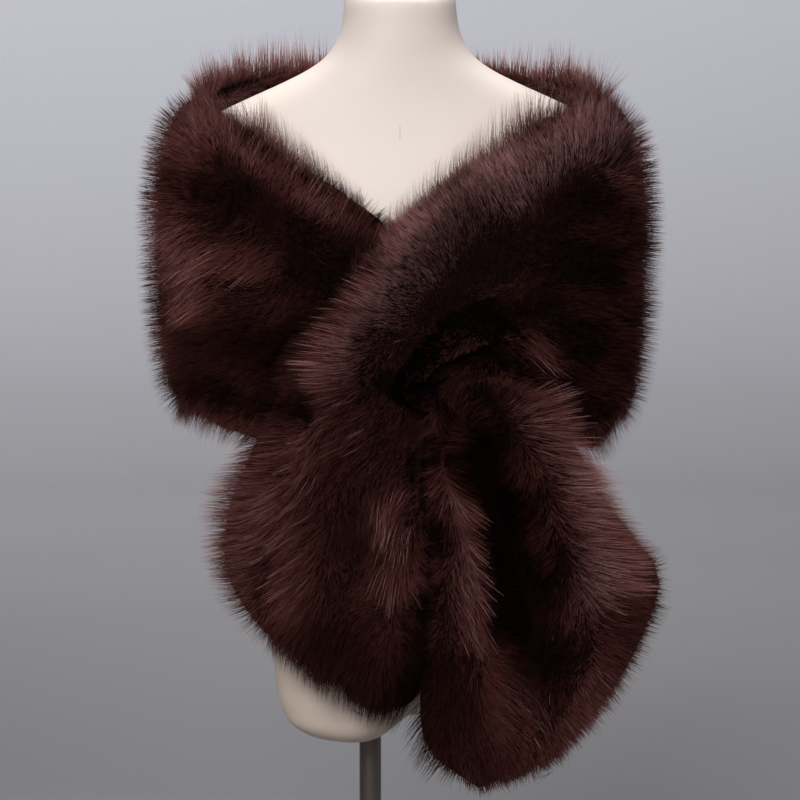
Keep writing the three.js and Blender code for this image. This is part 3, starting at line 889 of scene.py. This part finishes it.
def waveNoise(points, size, rng):
    # a smooth random vector field, made of a few waves of about one size
    total = np.zeros_like(points)
    for _ in range(hair["waves"]):
        wave = unit(rng.normal(size=(1, 3)))[0] * 2 * math.pi / (size * rng.uniform(*hair["waveSpread"]))
        push = unit(rng.normal(size=(1, 3)))[0]
        total += np.sin(points @ wave + rng.uniform(*hair["waveStart"]))[:, None] * push
    return (total / hair["waveLevel"]).astype(np.float32)


def shareInRoom(roots, travel):
    # how much of each hair stays in the room that the pelt has around the CAD box
    low, high = np.array(cadBox)
    proud = (high - low) * hair["proudShare"] + hair["proud"]
    room = np.where(travel > 0, high + proud - roots, roots - low + proud)
    return (room / np.abs(travel).clip(1e-9)).min(1).clip(0, 1)


def sampleRoots(nodeName, shells, rng):
    # places on the hairy faces that no other stretch covers, with the surface's way, which edge each
    # is on, how open it is there, and the area that all the wanted hairs share
    points, corners, normals = shells["arrays"][nodeName]
    count = hair["hairsPerNode"][nodeName]
    crossed, centres = faceNormals(points, corners)
    grows, edge = growsHair(centres, unit(crossed))
    weight = np.linalg.norm(crossed, axis=1) / 2 * grows * (1 + np.abs(edge) * hair["edgeCrowd"])
    chosen = rng.choice(len(corners), size=count, p=weight / weight.sum())
    a, b = rng.random((2, count))
    flip = a + b > 1
    a[flip], b[flip] = 1 - a[flip], 1 - b[flip]
    shares = np.stack([1 - a - b, a, b], 1)[:, :, None]
    surface = (points[corners[chosen]] * shares).sum(1)
    way = unit((normals[corners[chosen]] * shares).sum(1))
    openness = (shells["openness"][nodeName][corners[chosen]] * shares[:, :, 0]).sum(1)
    flatWay = unit(crossed)[chosen]
    clear = rayDistances(shells["trees"][nodeName]["neighbours"], surface + flatWay * hair["coverLift"],
                         flatWay, hair["hiddenWithin"]) >= hair["hiddenWithin"]
    return surface[clear], way[clear], edge[chosen][clear], openness[clear], weight.sum()


def combHair(surface, way, edge, rng):
    # the way each hair leaves its root and the way its tip lies, the strokes' painted light and shade on it,
    # and which are guard hairs and which are frosted
    count = len(surface)
    down = np.where(edge[:, None] > 0, (0, 0, 1), (0, 0, -1))
    fall = down - way * (way * down).sum(1)[:, None]
    push, paintedLight = stroked(surface)
    push -= way * (push * way).sum(1)[:, None]
    strength = np.linalg.norm(push, axis=1)
    lie = fall / np.maximum(np.linalg.norm(fall, axis=1), hair["leastFall"])[:, None]
    spread = outwardFrom(surface) * np.abs(way[:, 2:])
    push += np.abs(edge)[:, None] * (lie * hair["edgeLie"] + spread * hair["edgeOut"])
    guard = rng.random(count) < hair["guardShare"]
    # frosted hairs stand only where the strokes' painted light is high, as a painted highlight
    frost = rng.random(count) < hair["frostShare"] * strength * (paintedLight > hair["frostLight"])
    push[frost] *= hair["frostLie"]
    turns = {
        "way": way,
        "fall": fall,
        "push": push,
        "broad": waveNoise(surface, hair["broadWave"], rng),
        "fine": waveNoise(surface, hair["fineWave"], rng),
        "stray": rng.normal(size=(count, 3)),
    }
    first, last = (unit(sum(turns[name] * share for name, share in hair[end].items()))
                   for end in ("rootTurn", "tipTurn"))
    return first, last, paintedLight, guard, frost


def gatherLocks(surface, area, rng):
    # some hairs lead a lock, and each hair belongs to the lock of the nearest leader
    leaders = rng.choice(len(surface), size=int(area / hair["lockSize"] ** 2), replace=False)
    places = placesOf(surface[leaders])
    return leaders, np.array([places.find(point)[1] for point in surface.tolist()])


def buildHair(nodeName, shells, finish):
    rng = np.random.default_rng(pelt["seed"] + stoleNodes.index(nodeName))
    surface, way, edge, openness, area = sampleRoots(nodeName, shells, rng)
    count = len(surface)
    sink = np.minimum(hair["rootSink"], depthUnder(nodeName, shells, surface, way) * hair["rootShare"])
    roots = surface - way * sink[:, None]
    first, last, paintedLight, guard, frost = combHair(surface, way, edge, rng)

    beyond = np.where(guard, rng.normal(*hair["guardReach"], count), rng.normal(*hair["reach"], count))
    inFront = np.clip(-surface[:, 1] / hair["frontDepth"], 0, 1)
    sideways = 1 - (way * outwardFrom(surface)).sum(1).clip(0, 1)
    beyond += hair["rimReach"] * sideways ** 2 * (1 - inFront)
    beyond[frost] = hair["frostReach"]
    room = np.minimum(*(rayDistances(tree, surface + way * pelt["lift"], last, hair["roomReach"])
                        for tree in shells["trees"][nodeName].values()))
    beyond = np.minimum(beyond, room * hair["roomShare"])
    middleWay = (first + last) / 2
    lean = (middleWay * way).sum(1).clip(hair["leastLean"], 1)
    length = np.maximum((sink + beyond) / lean, hair["shortest"]) * np.where(edge < 0, hair["hemLength"], 1)
    length *= shareInRoom(roots, middleWay * length[:, None])

    leaders, lock = gatherLocks(surface, area, rng)
    lockTone = rng.normal(size=len(leaders))[lock]
    tips = roots + middleWay * length[:, None]
    toLeader = tips[leaders][lock] - tips
    tipShift = toLeader * (hair["lockPull"] * rng.uniform(*hair["pullSpread"], count))[:, None]
    tipShift[np.linalg.norm(toLeader, axis=1) > hair["lockReach"]] = 0
    line = [roots + length[:, None] * (t * first + t * t / 2 * (last - first))
            + tipShift * t ** hair["pullCurve"] for t in hair["stops"]]

    lineWay = unit(line[2] - line[0])
    across = unit(np.cross(lineWay, way))
    facing = np.cross(across, lineWay)
    turn = (rng.normal(size=count) * hair["twist"])[:, None]
    across, facing = (across * np.cos(turn) + facing * np.sin(turn),
                      facing * np.cos(turn) - across * np.sin(turn))
    lit = unit(facing + way * hair["softness"])
    crowd = math.sqrt(hair["usualCrowd"] / (count / area))
    width = np.where(guard, hair["guardWidth"], hair["width"] * crowd)
    width[frost] = hair["frostWidth"]
    halfWidth = across * (width * rng.uniform(*hair["widthSpread"], count))[:, None] / 2

    # tone: the hair's own tone, by lock, by hair and darker on some guard hairs, then times the painted light
    # and shade below
    tone = np.clip(hair["tone"] + hair["lockTone"] * lockTone + hair["singleTone"] * rng.normal(size=count)
                   - hair["guardTone"] * guard * rng.random(count), 0, 1)
    # the strokes' painted light brightens the hair's colour, and their painted shade (where negative) darkens
    # it
    shade = hair["plainShade"] * np.where(paintedLight < 0, np.exp(paintedLight * hair["darkCurve"]), 1 + paintedLight)
    # painted shade in the hollows: the less open, the darker the colour
    shade = shade.clip(0, hair["mostShade"]) * openness ** hair["paintedValleyShade"]
    # the rolled collar gets at least rolledShade of painted light
    tone *= np.where(edge > 0, np.maximum(hair["rolledShade"], shade), shade)
    tone[frost] = rng.uniform(*hair["frostTone"], frost.sum())
    mesh = ribbonMesh("longHair_" + nodeName, line, halfWidth, tone, lit)
    piece = bpy.data.objects.new(mesh.name, mesh)
    bpy.context.collection.objects.link(piece)
    ownPiece(piece, finish)
    print(f"  {nodeName}: {count} hairs, {count / area / 1e4:.0f} a square centimetre")
    return piece


def ribbonMesh(name, line, halfWidth, tone, lit):
    # each hair as a quad and an end triangle, on two points at its root, two in its middle and its tip
    count = len(tone)
    low, middle, tip = hair["stops"]
    mesh = bpy.data.meshes.new(name)
    sides = [line[k] + sign * halfWidth * share for k, share in enumerate(hair["taper"]) for sign in (-1, 1)]
    mesh.vertices.add(count * 5)
    mesh.vertices.foreach_set("co", np.stack([*sides, line[2]], 1).astype(np.float32).ravel())
    start = (np.arange(count) * 5)[:, None]
    loops = (start + np.array([0, 1, 3, 2, 2, 3, 4])).ravel()
    mesh.loops.add(len(loops))
    mesh.loops.foreach_set("vertex_index", loops.astype(np.int32))
    mesh.polygons.add(count * 2)
    loopStart = (np.arange(count) * 7)[:, None] + np.array([0, 4])
    mesh.polygons.foreach_set("loop_start", loopStart.astype(np.int32).ravel())
    mesh.update(calc_edges=True)
    addNumbers(mesh, "along", np.tile([low, low, middle, middle, tip], count))
    addNumbers(mesh, "tone", np.repeat(tone, 5))
    mesh.shade_smooth()
    mesh.normals_split_custom_set_from_vertices(np.repeat(lit, 5, axis=0).tolist())
    alongLoops = np.tile([low, low, middle, middle, middle, middle, tip], count)
    toneAndAlong = np.stack([np.repeat(tone, 7), alongLoops], 1)
    mesh.uv_layers.new(name="OFBake").data.foreach_set("uv", toneAndAlong.astype(np.float32).ravel())
    return mesh


def addNumbers(mesh, name, values):
    attribute = mesh.attributes.new(name, "FLOAT", "POINT")
    attribute.data.foreach_set("value", values.astype(np.float32))


placeCamera()
buildStudio()
lightStudio()
print("stage: camera, studio and lights")
buildForm()
buildStand()
print("stage: form and stand")
underfurPelt, longHairs = underfurFinish(), longHairFinish()
shells = peltShells()
underfurs = [buildUnderfur(nodeName, shells, underfurPelt) for nodeName in stoleNodes]
groundCloth = buildGroundCloth(shells)
print("stage: ground cloth and underfur")
hairs = [buildHair(nodeName, shells, longHairs) for nodeName in stoleNodes]
print("stage: long hair")
